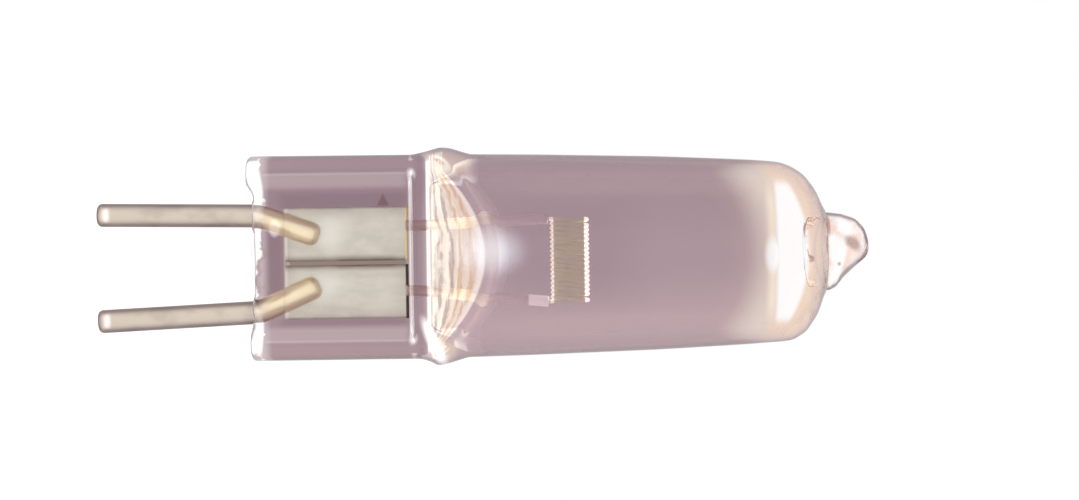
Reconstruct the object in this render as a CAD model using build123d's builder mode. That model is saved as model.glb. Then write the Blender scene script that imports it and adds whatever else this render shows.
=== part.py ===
from build123d import *
from math import cos, radians, sin, tan
import os

# Two-pin halogen capsule bulb, built as it is made: a clear quartz capsule, blown and pinched in one piece,
# holds two contact pins, two sealing foils, two inner leads and a flat coiled filament.
# Millimetres. +Z runs along the lamp from the pins to the exhaust tip, X joins the two pins and
# Y goes through the thickness of the pinch. The origin is on the glass axis, at the end of the pinch web.

# pinch, the flat end that was pressed over the metalwork
pinch_radius = 6.65
pinch_thickness = 4.6
pinch_height = 10.15
web_thickness = 2.8
rail_land = 1.25
rail_flank = 1.0
rail_overhang = 0.3
rail_corner = 0.6
rail_edge_chamfer = 0.4
collar_height = 1.05

# shoulder, where the pressed glass swells to a bead and opens out into the tube
bead_swell = 0.42
bead_start = 0.3
bead_rise = 1.4
bead_length = 3.5
bead_round = 1.5
bead_blend = 2.0
facet_angle = 49.0
facet_wall = 1.6

# tube and dome
tube_waist = 0.07
tube_narrowing = 0.8
tube_length = 21.7
tube_wall = 1.15
dome_height = 2.05
dome_round = 2.8
dome_wall = 1.1

# top and bottom of the cavity
cavity_dome_height = 0.8
cavity_dome_bevel = 1.0
floor_blend = 0.5

# exhaust tip, where the filling tube was melted off
tip_radius = 2.5
tip_length = 2.9
tip_shoulder = 1.35
tip_nose = 0.95
tip_shoulder_round = 1.4
tip_nose_bevel = 0.3
tip_lean = 8.0
tip_sink = 0.9
exhaust_mouth = 1.0
exhaust_sink = 2.0
exhaust_end = 0.3
exhaust_end_wall = 0.95

# the metalwork as a whole sits a little to one side of the glass axis
metal_shift = 0.36
seal_gap = 0.02

# contact pins
pin_radius = 0.75
pin_spacing = 6.25
pin_reach = 10.25
pin_end_chamfer = 0.25
pin_bend_height = 0.05
pin_bend = 1.2
left_pin_lean = 1.0
right_pin_lean = 2.6
left_weld_shift = 0.15
right_weld_shift = -0.5
pin_foil_lap = 2.25

# sealing foils
foil_width = 3.5
foil_length = 8.0
foil_thickness = 0.03
foil_gap = 0.25
foil_base = 1.9

# inner leads
lead_radius = 0.36
lead_spacing = 4.2
lead_shift = 0.1
lead_foil_lap = 1.9
lead_bend_rise = 0.6
lead_end_chamfer = 0.08
lead_end_gap = 0.1
leg_clearance = 0.01

# filament
filament_height = 20.35
coil_length = 5.35
coil_height = 2.55
coil_thickness = 1.1
coil_turns = 18
coil_wire_radius = 0.1
coil_crest = 0.3
coil_end_splay = 0.15
coil_wire_sides = 6
leg_length = 1.3

# radii that follow from the pinch: the bead stands out from it, and the tube is drawn in
bead_radius = pinch_radius + bead_swell
tube_radius = pinch_radius - tube_waist
tube_top_radius = tube_radius - tube_narrowing

# heights along the lamp that follow from the sizes above
collar_top = pinch_height + collar_height
bead_base = pinch_height + bead_start
bead_top = bead_base + bead_length
dome_base = bead_top + tube_length
dome_top = dome_base + dome_height
cavity_top = dome_base - dome_wall
tip_root = dome_base + dome_height * (1 - tip_radius / tube_top_radius)
foil_top = foil_base + foil_length

# the taper of the tube, as the radius lost for each millimetre of height
tube_taper = tube_narrowing / tube_length

# the coil's wire centre line, inside its outer sizes
coil_half_height = coil_height / 2 - coil_wire_radius
coil_half_thickness = coil_thickness / 2 - coil_wire_radius
coil_bottom = filament_height - coil_half_height
lead_top = coil_bottom - coil_wire_radius - lead_end_gap

# the glass facets that open from the pinch into the tube, seen from the side
facet_slope = tan(radians(facet_angle))
floor_height = collar_top + (facet_wall / cos(radians(facet_angle)) - pinch_thickness / 2) / facet_slope
cavity_base_radius = tube_radius - tube_wall + tube_taper * (bead_top - floor_height)
cavity_top_radius = tube_top_radius - tube_wall

# a length that reaches past the whole lamp, for profiles that only cut
beyond = dome_top + tip_length

os.makedirs("parts", exist_ok=True)


def pin_wire(side, lean, weld_shift, radius):
    """A pin's wire: it leans outwards below the glass, then bends in to lie half round on its foil."""
    base_x = metal_shift + side * pin_spacing / 2
    weld_x = metal_shift + side * (foil_gap + foil_width) / 2 + weld_shift
    foot_x = base_x + side * (pin_reach + pin_bend_height) * tan(radians(lean))
    points = [
        (foot_x, 0, -pin_reach),
        (base_x, 0, pin_bend_height),
        (weld_x, 0, foil_base + pin_foil_lap),
    ]
    with BuildPart() as wire:
        with BuildLine() as route:
            FilletPolyline(*points, radius=pin_bend)
        with BuildSketch(Plane(origin=route.line @ 0, z_dir=route.line % 0)):
            Circle(radius)
        sweep(path=route.line)
        with BuildSketch(Plane.XZ.offset(foil_thickness / 2)):
            with Locations((0, foil_base - seal_gap)):
                Rectangle(beyond, beyond, align=(Align.CENTER, Align.MIN))
        extrude(amount=-beyond, mode=Mode.SUBTRACT)
    return wire.part


def lead_wire(side, radius):
    """A lead's wire: half round and straight behind its foil, then leaning out to the filament's leg."""
    foot_x = lead_shift + side * lead_spacing / 2
    leg_x = metal_shift + side * coil_length / 2
    points = [
        (foot_x, 0, foil_top - lead_foil_lap),
        (foot_x, 0, foil_top + lead_bend_rise),
        (leg_x, 0, lead_top),
    ]
    with BuildPart() as wire:
        with BuildLine() as route:
            Polyline(*points)
        with BuildSketch(Plane(origin=route.line @ 0, z_dir=route.line % 0)):
            Circle(radius)
        sweep(path=route.line, transition=Transition.RIGHT)
        with BuildSketch(Plane.XZ.offset(-foil_thickness / 2)):
            with Locations((0, foil_top + seal_gap)):
                Rectangle(beyond, beyond, align=(Align.CENTER, Align.MAX))
        extrude(amount=beyond, mode=Mode.SUBTRACT)
    return wire.part


# Contact pins, bevelled at the outer end. The inner end is half round, flat on the front of its foil.
pin_sides = (
    ("left_contact_pin", -1, left_pin_lean, left_weld_shift),
    ("right_contact_pin", 1, right_pin_lean, right_weld_shift),
)
for name, side, lean, weld_shift in pin_sides:
    with BuildPart() as contact_pin:
        add(pin_wire(side, lean, weld_shift, pin_radius))
        chamfer(contact_pin.faces().sort_by(Axis.Z)[0].edges(), length=pin_end_chamfer)
    contact_pin.part.label = name
    export_step(contact_pin.part, f"parts/{name}.step")

# Sealing foils, side by side in the middle of the web, one for each circuit.
for name, side in (("left_sealing_foil", -1), ("right_sealing_foil", 1)):
    with BuildPart() as sealing_foil:
        with BuildSketch(Plane.XZ.offset(-foil_thickness / 2)):
            with Locations((metal_shift + side * (foil_gap + foil_width) / 2, foil_base)):
                Rectangle(foil_width, foil_length, align=(Align.CENTER, Align.MIN))
        extrude(amount=foil_thickness)
    sealing_foil.part.label = name
    export_step(sealing_foil.part, f"parts/{name}.step")

# Inner leads. The lower end is pressed half round on the back of its foil, and the upper end is bored
# for the filament's leg.
for name, side in (("left_inner_lead", -1), ("right_inner_lead", 1)):
    with BuildPart() as inner_lead:
        add(lead_wire(side, lead_radius))
        chamfer(inner_lead.faces().sort_by(Axis.Z)[-1].edges(), length=lead_end_chamfer)
        with BuildSketch(Plane.XY.offset(coil_bottom - leg_length - leg_clearance)):
            with Locations((metal_shift + side * coil_length / 2, 0)):
                Circle(coil_wire_radius + leg_clearance)
        extrude(amount=leg_length, mode=Mode.SUBTRACT)
    inner_lead.part.label = name
    export_step(inner_lead.part, f"parts/{name}.step")

# Filament: one wire, wound flat about an axis across the lamp, with a straight leg down into each lead.
# One turn, as depth and height, goes up the front, over the crest, down the back and under to the front.
turn_outline = [
    (-coil_half_thickness, coil_crest - coil_half_height),
    (-coil_half_thickness, coil_half_height - coil_crest),
    (0, coil_half_height),
    (coil_half_thickness, coil_half_height - coil_crest),
    (coil_half_thickness, coil_crest - coil_half_height),
    (0, -coil_half_height),
]
left_leg_x = metal_shift - coil_length / 2
right_leg_x = metal_shift + coil_length / 2
# the last turn stops short of the bottom, where the leg goes down
winding = (turn_outline * coil_turns)[:-1]
coil_points = [(left_leg_x, 0, coil_bottom - leg_length), (left_leg_x, 0, coil_bottom)]
for count, (depth, height) in enumerate(winding):
    along = left_leg_x + (count + 0.5) * coil_length / len(winding)
    if height > 0 and count < len(turn_outline):
        along -= coil_end_splay
    if height > 0 and count >= len(winding) - len(turn_outline):
        along += coil_end_splay
    coil_points.append((along, depth, filament_height + height))
coil_points += [(right_leg_x, 0, coil_bottom), (right_leg_x, 0, coil_bottom - leg_length)]
with BuildPart() as filament:
    with BuildLine() as coil_route:
        Polyline(*coil_points)
    with BuildSketch(Plane(origin=coil_route.line @ 0, z_dir=coil_route.line % 0)):
        RegularPolygon(coil_wire_radius, coil_wire_sides)
    sweep(path=coil_route.line, transition=Transition.RIGHT)
filament.part.label = "filament"
export_step(filament.part, "parts/filament.step")

# Exhaust tip's own axis, which leans to the left of the lamp's.
tip_across = (cos(radians(tip_lean)), 0, sin(radians(tip_lean)))
tip_plane = Plane(origin=(0, 0, tip_root), x_dir=tip_across, z_dir=(0, -1, 0))
tip_axis = Axis(origin=tip_plane.origin, direction=tip_plane.y_dir)

# Cavity: the hollow of the tube, closed below where the pinched walls meet, and drawn out into the tip.
with BuildPart() as cavity:
    with BuildSketch(Plane.XZ):
        with BuildLine():
            Polyline(
                (0, floor_height),
                (cavity_base_radius, floor_height),
                (cavity_top_radius, cavity_top - cavity_dome_bevel),
                (cavity_top_radius - cavity_dome_bevel, cavity_top),
                (0, cavity_top + cavity_dome_height),
                close=True,
            )
        make_face()
    revolve(axis=Axis.Z)
    with BuildSketch(Plane.YZ) as floor_outline:
        with BuildLine():
            Polyline(
                (0, floor_height),
                (beyond * facet_slope, floor_height + beyond),
                (-beyond * facet_slope, floor_height + beyond),
                close=True,
            )
        make_face()
        fillet(floor_outline.vertices().sort_by(Axis.Y)[0], radius=floor_blend)
    extrude(amount=bead_radius, both=True, mode=Mode.INTERSECT)
    with BuildSketch(tip_plane):
        with BuildLine():
            Polyline(
                (0, -exhaust_sink),
                (exhaust_mouth, -exhaust_sink),
                (exhaust_end, tip_length - exhaust_end_wall),
                (0, tip_length - exhaust_end_wall),
                close=True,
            )
        make_face()
    revolve(axis=tip_axis)

# Quartz capsule: turned body, pressed flat at the pinch, with the tip melted on and the cavity left inside.
with BuildPart() as quartz_capsule:
    with BuildSketch(Plane.XZ):
        with BuildLine():
            FilletPolyline(
                (0, -rail_overhang),
                (pinch_radius, -rail_overhang),
                (pinch_radius, bead_base),
                (bead_radius, bead_base + bead_rise),
                (tube_radius, bead_top),
                (tube_top_radius, dome_base),
                (0, dome_top),
                radius=[rail_corner, bead_blend, bead_round, bead_blend, dome_round],
            )
            Line((0, dome_top), (0, -rail_overhang))
        make_face()
    revolve(axis=Axis.Z)
    with BuildSketch(Plane.YZ):
        with BuildLine():
            Polyline(
                (-pinch_thickness / 2, -beyond),
                (pinch_thickness / 2, -beyond),
                (pinch_thickness / 2, collar_top),
                (pinch_thickness / 2 + beyond * facet_slope, collar_top + beyond),
                (-pinch_thickness / 2 - beyond * facet_slope, collar_top + beyond),
                (-pinch_thickness / 2, collar_top),
                close=True,
            )
        make_face()
    extrude(amount=bead_radius, both=True, mode=Mode.INTERSECT)

    # the web is pressed thinner than the rails that run along both sides of it
    land_edge = pinch_radius - rail_land
    floor_edge = land_edge - rail_flank
    with BuildSketch(Plane.XY.offset(-beyond)):
        with BuildLine():
            Polyline(
                (-floor_edge, web_thickness / 2),
                (floor_edge, web_thickness / 2),
                (land_edge, pinch_thickness / 2),
                (land_edge, beyond),
                (-land_edge, beyond),
                (-land_edge, pinch_thickness / 2),
                close=True,
            )
        make_face()
        mirror(about=Plane.XZ)
    extrude(amount=beyond + pinch_height, mode=Mode.SUBTRACT)
    with BuildSketch(Plane.XY.offset(-beyond)):
        Rectangle(2 * floor_edge, beyond)
    extrude(amount=beyond, mode=Mode.SUBTRACT)

    # the melted tip
    with BuildSketch(tip_plane):
        with BuildLine():
            FilletPolyline(
                (0, -tip_sink),
                (tip_radius, -tip_sink),
                (tip_radius, tip_shoulder),
                (tip_nose, tip_length - tip_nose_bevel),
                (tip_nose - tip_nose_bevel, tip_length),
                (0, tip_length),
                radius=[0, tip_shoulder_round, 0, 0],
            )
            Line((0, tip_length), (0, -tip_sink))
        make_face()
    revolve(axis=tip_axis)

    # long edges of the rails, softened by the flame
    upright = quartz_capsule.edges().filter_by(Axis.Z).filter_by_position(Axis.Z, 0, pinch_height)
    outermost = upright.filter_by(lambda edge: abs(edge.center().X) > land_edge)
    chamfer(outermost, length=rail_edge_chamfer)

    # the hollow inside and the places of the metalwork, which the glass has flowed round
    add(cavity.part, mode=Mode.SUBTRACT)
    for _, side, lean, weld_shift in pin_sides:
        add(pin_wire(side, lean, weld_shift, pin_radius + seal_gap), mode=Mode.SUBTRACT)
        add(lead_wire(side, lead_radius + seal_gap), mode=Mode.SUBTRACT)
    with BuildSketch(Plane.XZ.offset(-foil_thickness / 2 - seal_gap)):
        with Locations((metal_shift, foil_base - seal_gap)):
            with GridLocations(foil_width + foil_gap, 0, 2, 1):
                Rectangle(
                    foil_width + 2 * seal_gap, foil_length + 2 * seal_gap, align=(Align.CENTER, Align.MIN)
                )
    extrude(amount=foil_thickness + 2 * seal_gap, mode=Mode.SUBTRACT)
quartz_capsule.part.label = "quartz_capsule"
export_step(quartz_capsule.part, "parts/quartz_capsule.step")
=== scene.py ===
from collections import namedtuple
from math import cos, pi, radians, sin, tan

import bpy
import numpy as np
from mathutils import Matrix, Vector


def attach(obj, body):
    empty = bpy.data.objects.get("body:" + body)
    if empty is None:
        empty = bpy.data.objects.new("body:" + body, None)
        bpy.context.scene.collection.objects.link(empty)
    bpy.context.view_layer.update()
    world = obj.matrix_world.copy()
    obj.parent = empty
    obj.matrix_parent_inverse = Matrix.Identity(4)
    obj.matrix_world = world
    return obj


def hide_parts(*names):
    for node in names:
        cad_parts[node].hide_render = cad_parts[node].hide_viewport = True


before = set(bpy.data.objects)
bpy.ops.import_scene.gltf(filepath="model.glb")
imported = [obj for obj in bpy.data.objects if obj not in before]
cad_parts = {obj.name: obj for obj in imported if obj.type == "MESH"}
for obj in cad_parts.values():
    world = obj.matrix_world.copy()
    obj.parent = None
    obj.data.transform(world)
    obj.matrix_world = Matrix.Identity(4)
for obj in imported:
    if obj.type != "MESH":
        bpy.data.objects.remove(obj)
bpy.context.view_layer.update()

# A clear two-pin halogen capsule. Shapes are worked out in millimetres, in the part's own frame:
# +Z from the pins to the tip, X along the line of the pins, Y through the thickness of the pinch.
MM = 0.001

# The metalwork. Left is the side of negative X.
METAL_SHIFT = 0.36
PIN_RADIUS = 0.75
PIN_SPACING = 6.25
PIN_REACH = 10.25
PIN_BEND = 0.2
PIN_TOP = 4.12
PIN_WELD = 4.15
FOIL_HALF = 0.015
FOIL_FADE = 0.15
LEAD_RADIUS = 0.36
LEAD_FOOT = 8.0
LEAD_BEND = 10.5
LEAD_TOP = 18.97
FILAMENT_HEIGHT = 20.35
COIL_TURNS = 18
COIL_LENGTH = 5.35
COIL_BOTTOM = 19.175
COIL_HALF_DEPTH = 0.41
COIL_HALF_HEIGHT = 1.137
COIL_SQUARENESS = 3.2
COIL_SPLAY = 0.16
COIL_UNEVENNESS = 0.014
COIL_WIRE_RADIUS = 0.138
COIL_SEED = 4
# How far under the coil each of its legs starts and ends.
LEG_FOOT = 1.28
LEG_HEAD = 0.12
LEG_STEPS = 8


# Shapes

def soft_min(a, b, width):
    """The smaller of a and b, rounded where they cross: half of a + b less the root of (a - b)^2 + width^2."""
    return 0.5 * (a + b - np.sqrt((a - b) ** 2 + width ** 2))


def ease(x):
    """An S-shaped step: 0 below 0, 1 above 1, and 3x^2 - 2x^3 between."""
    x = np.clip(x, 0, 1)
    return x * x * (3 - 2 * x)


def soft_profile(heights, radii, softness):
    """Radius at any height: straight runs between the given points, evened out by a running bell-shaped mean."""
    pace = 0.02
    z = np.arange(-2.0, 42.0, pace)
    r = np.interp(z, heights, radii)
    reach = np.arange(-3 * softness, 3 * softness + pace / 2, pace)
    bell = np.exp(-0.5 * (reach / softness) ** 2)
    padded = np.pad(r, len(reach) // 2, mode="edge")
    smooth = np.convolve(padded, bell / bell.sum(), mode="same")[len(reach) // 2:][:len(z)]
    return lambda height: np.interp(height, z, smooth)


def waves(x, y, z, seed):
    """A slow wobble from -1 to 1: the mean of six sine waves, each along its own fixed direction and length."""
    count, shortest, longest = 6, 1.2, 3.2
    chance = np.random.default_rng(seed)
    total = 0
    for _ in range(count):
        direction = chance.normal(size=3)
        direction /= np.linalg.norm(direction)
        pitch = chance.uniform(shortest, longest)
        along = direction[0] * x + direction[1] * y + direction[2] * z
        total = total + np.sin(2 * pi / pitch * along + chance.uniform(0, 2 * pi))
    return total / count


def closed_skin(rings, inward=False):
    """Points and faces of a closed skin: each ring is joined to the next, and both ends close on a middle point."""
    rows, columns, _ = rings.shape
    points = np.concatenate([rings.reshape(-1, 3), rings[:1].mean(axis=1), rings[-1:].mean(axis=1)])
    index = np.arange(rows * columns).reshape(rows, columns)
    right = np.roll(index, -1, axis=1)
    quads = np.stack([index[:-1], right[:-1], right[1:], index[1:]], axis=-1).reshape(-1, 4)
    bottom = np.stack([right[0], index[0], np.full(columns, rows * columns)], axis=-1)
    top = np.stack([index[-1], right[-1], np.full(columns, rows * columns + 1)], axis=-1)
    fans = np.concatenate([bottom, top])
    if inward:
        quads, fans = quads[:, ::-1], fans[:, ::-1]
    return points, quads, fans


def make_piece(name, skins, node, material):
    """One mesh piece from closed skins in millimetres, standing for the solid of the same place."""
    points, faces, first = [], [], 0
    for skin_points, quads, fans in skins:
        points.append(skin_points)
        faces += (quads + first).tolist() + (fans + first).tolist()
        first += len(skin_points)
    mesh = bpy.data.meshes.new(name)
    mesh.from_pydata((np.concatenate(points) * MM).tolist(), [], faces)
    mesh.shade_smooth()
    mesh.materials.append(material)
    piece = bpy.data.objects.new(name, mesh)
    bpy.context.scene.collection.objects.link(piece)
    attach(piece, "root")
    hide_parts(node)
    return piece


# Outside of the glass, as half widths of its outline to the left and right of the axis, and as half thickness.
TIP_ROOT = 36.87
LEFT_OUTLINE = soft_profile(
    [-1.0, 10.2, 11.2, 12.0, 12.7, 13.4, 14.0, 18.4, 26.2, 31.6, 33.2, 34.0, 34.75, 35.55, 36.3, 36.9],
    [6.64, 6.60, 6.82, 7.06, 7.00, 6.76, 6.58, 6.50, 6.28, 6.01, 5.88, 5.79, 5.50, 4.96, 3.96, 2.53],
    0.16,
)
RIGHT_OUTLINE = soft_profile(
    [-1.0, 10.6, 11.2, 11.7, 12.1, 12.7, 13.7, 18.4, 26.2, 31.6, 33.2, 34.0, 34.75, 35.55, 36.3, 36.9],
    [6.64, 6.64, 6.80, 7.09, 7.04, 6.88, 6.58, 6.48, 6.25, 6.00, 5.89, 5.85, 5.74, 5.25, 4.18, 2.55],
    0.13,
)
# Heights of the outer skin's rings, closest together where its shape changes most.
OUTSIDE_HEIGHTS = np.concatenate([
    np.linspace(0.4, 9.6, 20), np.linspace(9.75, 10.6, 15), np.linspace(10.68, 15.3, 66),
    np.linspace(15.6, 17.0, 4), np.linspace(18.0, 32.0, 10), np.linspace(32.6, 35.4, 16),
    np.linspace(35.5, TIP_ROOT, 20),
])
HALF_WIDTH = 6.64
HALF_PINCH = 2.3
HALF_WEB = 1.4
COLLAR_TOP = 11.2
COLLAR_ROUND = 0.4
FACET_SLOPE = tan(radians(49))
SHOULDER_SOFTNESS = 0.35
EDGE_ROUND = 0.34
EDGE_RINGS = 9
FACE_RINGS = 20

# The recess in both faces of the pinch: its floor ends at one half width, its flanks at the next.
RECESS_FLOOR_EDGE = 4.1
RECESS_FACE_EDGE = 5.7
RECESS_TOP = 10.12
RECESS_WALL = 0.4
RECESS_MARGIN = 0.2
RECESS_SOFTNESS = 0.12
# Above this height nothing is cut, as the limit for |y| then grows four times as fast as z.
RECESS_CLEAR = 10.6
RECESS_OPENING = 4

# The arch at the top of the facets, and the folds between the collar and the arch.
ARCH_FOOT = 11.35
ARCH_RISE = 3.6
ARCH_BOW = 0.09
ARCH_LEAST = 0.9
ARCH_FOLDS = 4.5
FOLD_DEPTH = 0.03
INNER_FOLD_DEPTH = 0.008
FOLD_WOBBLE = 0.35
FOLD_PLACE_SEED = 5
FOLD_SIZE_SEED = 9

# The melted end: how far the rails hang below the web, and the ring that the glass forms round each pin.
LEFT_OVERHANG = 0.42
RIGHT_OVERHANG = 0.24
PIN_RING = 1.02
PIN_RING_DEPTH = 0.16
PIN_RING_WIDTH = 0.2
END_WOBBLE = 0.06
END_SEED = 3

# The tip's left and right outline, as x and z at the same stops along the way up.
TIP_STOPS = [0.0, 0.08, 0.22, 0.42, 0.6, 0.76, 0.9, 1.0]
TIP_LEFT = (
    [-2.53, -2.50, -2.47, -2.38, -2.07, -1.45, -0.71, -0.12],
    [36.87, 36.93, 37.25, 37.94, 38.89, 39.45, 39.70, 39.73],
)
TIP_RIGHT = (
    [2.55, 2.56, 2.56, 2.35, 1.77, 1.22, 0.42, 0.05],
    [36.87, 36.95, 37.15, 37.55, 38.02, 38.60, 39.57, 39.70],
)
TIP_RINGS = 34
TIP_DENT = 0.02
TIP_SEED = 14


def ray_limit(half, a):
    """How far a ray at angle a runs before it leaves a slab of the given half thickness: half over |sin a|."""
    return half / np.maximum(np.abs(np.sin(a)), 1e-3)


def outline_angles(columns):
    """Angles round the glass, spaced so that their points are even along the outline of the pinch, and up to twice
    as close by the flanks of its rails."""
    flank_middle, flank_reach = 5.3, 1.6
    angle = np.linspace(0, 2 * pi, 40001)
    radius = soft_min(np.full_like(angle, HALF_WIDTH), ray_limit(HALF_PINCH, angle), 0.3)
    x, y = radius * np.cos(angle), radius * np.sin(angle)
    steps = np.hypot(np.diff(x), np.diff(y))
    near_flank = ease(1 - np.abs(np.abs(x[1:]) - flank_middle) / flank_reach)
    length = np.concatenate([[0], np.cumsum(steps * (1 + near_flank))])
    return np.interp(np.arange(columns) * length[-1] / columns, length, angle)


def facet_ripple(x, y, z, depth):
    """Folds across the facets: a wobbly sine of t, where t climbs from 0 at the collar to 1 on the arch, which lies
    3.6 - 0.09 x^2 above it. They fade out by S-steps at t = 0 and 1 and where |y| falls from 3.0 to 2.4."""
    reach = np.maximum(ARCH_RISE - ARCH_BOW * x ** 2, ARCH_LEAST)
    t = (z - ARCH_FOOT) / reach
    wobble = FOLD_WOBBLE * waves(x, y, 0 * z, FOLD_PLACE_SEED)
    size = (0.7 + 0.5 * waves(x, y, z, FOLD_SIZE_SEED)) * reach / ARCH_RISE
    inside = ease(t / 0.2) * ease((1.04 - t) / 0.15) * ease((np.abs(y) - 2.4) / 0.6)
    return depth * inside * size * np.sin(2 * pi * (ARCH_FOLDS * t + wobble))


def base_height(x, y):
    """Height of the pinch's end face: 0 over the web, less an overhang where |x| passes from 4.0 to 4.9, plus a
    small wobble, less a bell-shaped ring round each pin."""
    overhang = -np.where(x < 0, LEFT_OVERHANG, RIGHT_OVERHANG) * ease((np.abs(x) - 4.0) / 0.9)
    ripple = END_WOBBLE * waves(1.6 * x, 0.8 * y, 0 * x, END_SEED)
    rings = 0
    for side in (-1, 1):
        distance = np.hypot(x - METAL_SHIFT - side * PIN_SPACING / 2, y)
        rings = rings - PIN_RING_DEPTH * np.exp(-((distance - PIN_RING) / PIN_RING_WIDTH) ** 2)
    return overhang + ripple + rings


def end_rings(foot):
    """Rings of the end face and of its rounded edge, below the body's lowest ring: the edge turns in by a quarter
    circle, and the face shrinks to the middle in equal steps."""
    along = np.roll(foot, -1, axis=0) - np.roll(foot, 1, axis=0)
    out = np.stack([along[:, 1], -along[:, 0]], axis=-1)
    out /= np.linalg.norm(out, axis=-1, keepdims=True)
    turn = np.linspace(0, pi / 2, EDGE_RINGS)[:-1, None]
    inset = EDGE_ROUND * (1 - np.sin(turn))
    inset_x = foot[:, 0] - inset * out[:, 0]
    inset_y = foot[:, 1] - inset * out[:, 1]
    rise = base_height(inset_x, inset_y) + EDGE_ROUND * (1 - np.cos(turn))
    corner = np.stack([inset_x, inset_y, rise], axis=-1)
    spread = np.linspace(0.04, 0.97, FACE_RINGS)[:, None]
    face_x, face_y = spread * corner[0, :, 0], spread * corner[0, :, 1]
    face = np.stack([face_x, face_y, base_height(face_x, face_y)], axis=-1)
    return np.concatenate([face, corner])


def tip_rings(angle):
    """Rings of the melted tip: each is a leaning oval between a point of its left outline and one of its right,
    middle + half-width cos a across and the same half-width sin a in depth."""
    step = np.linspace(0, 1, TIP_RINGS)[1:]
    evened = np.array([0.25, 0.5, 0.25])
    outlines = []
    for outline in (TIP_LEFT, TIP_RIGHT):
        line = np.stack([np.interp(step, TIP_STOPS, numbers) for numbers in outline], axis=-1)
        line[1:-1] = np.stack([np.convolve(line[:, k], evened, mode="valid") for k in (0, 1)], axis=-1)
        outlines.append(line)
    left, right = outlines
    middle, half = (left + right) / 2, (right - left) / 2
    depth = np.hypot(half[:, 0], half[:, 1])
    x = middle[:, None, 0] + half[:, None, 0] * np.cos(angle)
    z = middle[:, None, 1] + half[:, None, 1] * np.cos(angle)
    y = depth[:, None] * np.sin(angle)
    dent = TIP_DENT * waves(x, y, z, TIP_SEED) * ease((z - 37.0) / 0.6)
    return np.stack([x * (1 + dent * 0.4), y * (1 + dent), z], axis=-1)


def glass_outside(columns):
    """Rings of the outer skin. In the body each point is at angle a and radius r(a, z), the soft smaller of the
    turned outline R(z) and the pressed half thickness T(z) over |sin a|. T is half the pinch up to the collar and
    climbs by the facets' slope above it. The web's recess then cuts |y| down."""
    angle = outline_angles(columns)
    z = OUTSIDE_HEIGHTS[:, None]
    a = angle[None, :]
    share = 0.5 + 0.5 * np.cos(a)
    turned = LEFT_OUTLINE(z) * (1 - share) + RIGHT_OUTLINE(z) * share
    climb = np.maximum(z - COLLAR_TOP, 0)
    pressed = HALF_PINCH + FACET_SLOPE * np.where(
        z < COLLAR_TOP + COLLAR_ROUND, climb ** 2 / (2 * COLLAR_ROUND), climb - COLLAR_ROUND / 2)
    radius = soft_min(turned, ray_limit(pressed, a), SHOULDER_SOFTNESS)
    x, y = radius * np.cos(a), radius * np.sin(a)
    flank = ease((np.abs(x) - RECESS_FLOOR_EDGE) / (RECESS_FACE_EDGE - RECESS_FLOOR_EDGE))
    wall = ease((z - RECESS_TOP + RECESS_SOFTNESS) / RECESS_WALL)
    recess = HALF_WEB + (HALF_PINCH + RECESS_MARGIN - HALF_WEB) * np.maximum(flank, wall)
    recess = recess + RECESS_OPENING * np.maximum(z - RECESS_CLEAR, 0)
    y = np.sign(y) * soft_min(np.abs(y), recess, RECESS_SOFTNESS)
    y = y + np.sign(y) * facet_ripple(x, y, z, FOLD_DEPTH)
    body = np.stack([x, y, np.broadcast_to(z, x.shape)], axis=-1)
    return np.concatenate([end_rings(body[0]), body, tip_rings(angle)])


# The hollow inside: its turned outline, and the heights of its rings over its floor.
CAVITY_FLOOR = 11.42
CAVITY_FLOOR_ROUND = 0.3
CAVITY_SOFTNESS = 0.25
LEAST_RADIUS = 0.01
CAVITY_OUTLINE = soft_profile(
    [11.0, 11.6, 12.4, 13.4, 14.4, 33.4, 34.1, 34.8, 35.3, 35.7, 36.05, 36.5, 38.3],
    [4.2, 4.6, 5.05, 5.34, 5.38, 4.74, 4.5, 3.9, 3.1, 2.2, 1.4, 0.8, 0.2],
    0.14,
)
CAVITY_STEPS = np.concatenate([
    np.array([0.004, 0.02, 0.05, 0.1]), np.linspace(0.16, 5.2, 56), np.linspace(6.0, 21.0, 10),
    np.linspace(21.5, 25.0, 42), np.linspace(25.2, 27.28, 12),
])
TUBE_MOUTH = 35.3
TUBE_LEAN = tan(radians(11))


def glass_inside(columns):
    """Rings of the hollow: the same soft smaller of a turned outline and a pressed one, with the pressed half
    thickness opening from a rounded floor as 1.15 times the root of h^2 + 0.3 h, h being the height over it."""
    height = CAVITY_STEPS[:, None]
    z = CAVITY_FLOOR + height
    a = outline_angles(columns)[None, :]
    pressed = FACET_SLOPE * np.sqrt(height ** 2 + CAVITY_FLOOR_ROUND * height)
    radius = np.maximum(soft_min(CAVITY_OUTLINE(z), ray_limit(pressed, a), CAVITY_SOFTNESS), LEAST_RADIUS)
    x, y = radius * np.cos(a), radius * np.sin(a)
    y = y + np.sign(y) * facet_ripple(x, y * 1.35, z + 0.2, INNER_FOLD_DEPTH)
    lean = np.maximum(z - TUBE_MOUTH, 0) * TUBE_LEAN
    return np.stack([x - lean, y, np.broadcast_to(z, x.shape)], axis=-1)


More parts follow.
